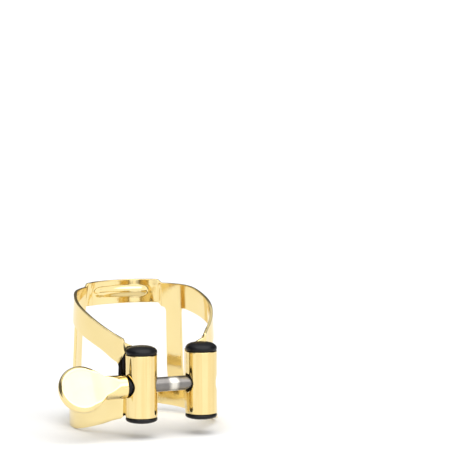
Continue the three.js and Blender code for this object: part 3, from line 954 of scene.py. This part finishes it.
def key_field(x, y, z):
    """Below zero inside the key: a round bar, pressed flat from both sides into a bevelled round paddle."""
    disc_x = corner_of("thumb_key", 0)[0] + PADDLE_RADIUS
    tall = key_half_height(x)
    slope = (key_half_height(x + SLOPE_STEP) - key_half_height(x - SLOPE_STEP)) / (2 * SLOPE_STEP)
    past = (np.abs(z) - tall) / np.sqrt(1 + slope**2)
    outline = np.where(x < disc_x, np.hypot(x - disc_x, z) - PADDLE_RADIUS, past)
    wall = outline + PADDLE_BULGE * (2 * y / PADDLE_THICKNESS) ** 2
    oval = (np.sqrt((y / NECK_RADIUS) ** 2 + (z / np.maximum(tall, 0.01)) ** 2) - 1) * NECK_RADIUS
    roundness = smoothstep(x, *FACET_ENDS)
    wall = wall + (oval - wall) * roundness
    face = np.abs(y) - PADDLE_THICKNESS / 2 - (NECK_RADIUS - PADDLE_THICKNESS / 2) * roundness
    bevel = (wall + face + PADDLE_EDGE) * math.sqrt(0.5) - roundness * NECK_RADIUS
    end = corner_of("thumb_key", 1)[0] - x
    shrink = NECK_EDGE - np.sqrt(np.maximum(NECK_EDGE**2 - np.maximum(NECK_EDGE - end, 0) ** 2, 0))
    return smooth_max(smooth_max(wall, face, PADDLE_ROUNDING), bevel, PADDLE_ROUNDING) + shrink


def key_reach(x, y_way, z_way):
    """Distance from the screw's axis to the key's surface in given directions, by halving."""
    low = np.zeros_like(x)
    high = np.full_like(x, PADDLE_RADIUS + WEB_BLEND)
    for _ in range(HALVINGS):
        middle = (low + high) / 2
        inside = key_field(x, middle * y_way, middle * z_way) < 0
        low = np.where(inside, middle, low)
        high = np.where(inside, high, middle)
    return (low + high) / 2


def thumb_key():
    """The cast key: a flat round paddle that swells into a round neck."""
    first, last = corner_of("thumb_key", 0)[0], corner_of("thumb_key", 1)[0]
    disc_x = first + PADDLE_RADIUS
    on_disc, on_neck, on_end = KEY_RINGS
    sweep = np.radians(np.linspace(*KEY_SWEEP, on_disc))
    stations = np.concatenate([
        disc_x - PADDLE_RADIUS * np.cos(sweep),
        np.linspace(disc_x + PADDLE_RADIUS * 0.2, last - NECK_EDGE, on_neck)[1:],
        last - NECK_EDGE + NECK_EDGE * np.sin(np.radians(np.linspace(15, 89, on_end))),
    ])
    around = np.linspace(0, 2 * math.pi, KEY_RING_POINTS, endpoint=False)
    x = np.repeat(stations, len(around))
    ones = np.ones_like(stations)
    deep = np.repeat(key_reach(stations, ones, 0 * ones), len(around))
    tall = np.repeat(key_reach(stations, 0 * ones, ones), len(around))
    turn = np.tile(around, len(stations))
    y_way, z_way = deep * np.cos(turn), tall * np.sin(turn)
    length = np.hypot(y_way, z_way)
    y_way, z_way = y_way / length, z_way / length
    reach = key_reach(x, y_way, z_way)
    points = list(zip(x, reach * y_way, reach * z_way))
    count = len(around)
    faces = ring_faces(len(stations), count)
    tip, end = len(points), len(points) + 1
    points += [(first, 0, 0), (last, 0, 0)]
    final = (len(stations) - 1) * count
    for k in range(count):
        faces.append((tip, k, (k + 1) % count))
        faces.append((end, final + k, final + (k + 1) % count))
    tilt = Matrix.Rotation(-math.radians(KEY_TILT), 3, "X")
    points = [tuple(tilt @ Vector(p)) for p in points]
    obj = new_piece("key", moved(points, (0, SCREW_AXIS[1], SCREW_AXIS[2])), faces, "gold_plate")
    return stand_for(obj, "thumb_screw", "thumb_key")


# ---- Carried-over CAD nodes -----------------------------------------------------------------


def finish_cad_node(node, slot):
    """Gives a CAD node that stays its material."""
    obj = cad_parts[node]
    obj.data.materials.clear()
    obj.data.materials.append(SLOTS[slot])


# ---- Studio ---------------------------------------------------------------------------------

SOFTBOX_DIRECTION = (0.02, -0.45, 0.893)
SOFTBOX_SPREAD = 83  # degrees across
SOFTBOX_POWER = 2.65
WALL_SIDES = (-0.2, -0.6)  # the wall's level rises between these two, counted away from the camera
WALL_TOP = (0.76, 0.59)  # and between these two heights, as shares of a unit sphere
WALL_LEVEL = 1.2
ROOM_LEVEL = 0.14
CEILING_EDGE = (0.70, 0.80)  # the ceiling's level rises between these two heights
CEILING_LEVEL = 0.8
FLOOR_DROP = -0.03
FLOOR_HALF_SIDE = 6.0  # metres


def add_floor():
    """A plain pale floor, just under the lowest edge."""
    half = FLOOR_HALF_SIDE
    mesh = bpy.data.meshes.new("floor")
    corners = [(-half, -half, 0), (half, -half, 0), (half, half, 0), (-half, half, 0)]
    mesh.from_pydata(corners, [], [(0, 1, 2, 3)])
    mesh.materials.append(studio_floor())
    floor = bpy.data.objects.new("floor", mesh)
    floor.location.z = FLOOR_DROP * MM
    bpy.context.scene.collection.objects.link(floor)


def add_softbox():
    """One broad soft light, high up and a little in front."""
    data = bpy.data.lights.new("softbox", "SUN")
    data.energy = SOFTBOX_POWER
    data.angle = math.radians(SOFTBOX_SPREAD)
    light = bpy.data.objects.new("softbox", data)
    light.rotation_mode = "QUATERNION"
    light.rotation_quaternion = Vector(SOFTBOX_DIRECTION).to_track_quat("Z", "Y")
    bpy.context.scene.collection.objects.link(light)


def add_world():
    """A pale wall in front of the object, a pale ceiling, and a dim room everywhere else."""
    world = bpy.data.worlds.new("studio")
    world.use_nodes = True
    tree = world.node_tree

    def ranged(source, start, end, low, high):
        node = tree.nodes.new("ShaderNodeMapRange")
        node.interpolation_type = "SMOOTHSTEP"
        for name, value in zip(("From Min", "From Max", "To Min", "To Max"), (start, end, low, high)):
            node.inputs[name].default_value = value
        tree.links.new(source, node.inputs["Value"])
        return node.outputs["Result"]

    def combined(operation, first, second):
        node = tree.nodes.new("ShaderNodeMath")
        node.operation = operation
        tree.links.new(first, node.inputs[0])
        tree.links.new(second, node.inputs[1])
        return node.outputs["Value"]

    where = tree.nodes.new("ShaderNodeTexCoord")
    parts = tree.nodes.new("ShaderNodeSeparateXYZ")
    tree.links.new(where.outputs["Generated"], parts.inputs["Vector"])
    across, up = parts.outputs["Y"], parts.outputs["Z"]
    wall = combined("MULTIPLY", ranged(across, *WALL_SIDES, 0, 1), ranged(up, *WALL_TOP, 0, 1))
    ceiling = ranged(up, *CEILING_EDGE, ROOM_LEVEL, CEILING_LEVEL)
    background = tree.nodes["Background"]
    background.inputs["Color"].default_value = (1, 1, 1, 1)
    level = combined("MAXIMUM", ranged(wall, 0, 1, 0, WALL_LEVEL), ceiling)
    tree.links.new(level, background.inputs["Strength"])
    bpy.context.scene.world = world


band()
for side in ("left", "right"):
    post_tube(side)
    for end in ("top", "bottom"):
        post_cap(side, end)
    for place in ("outer", "inner"):
        solder_fillet(side, place)
    finish_cad_node(f"swivel_core_{side}", "black_plastic")
finish_cad_node("thread_insert", "raw_brass")
screw_shaft()
thrust_washer()
thumb_key()
add_floor()
add_world()
add_softbox()
bpy.context.scene.view_settings.view_transform = "Standard"
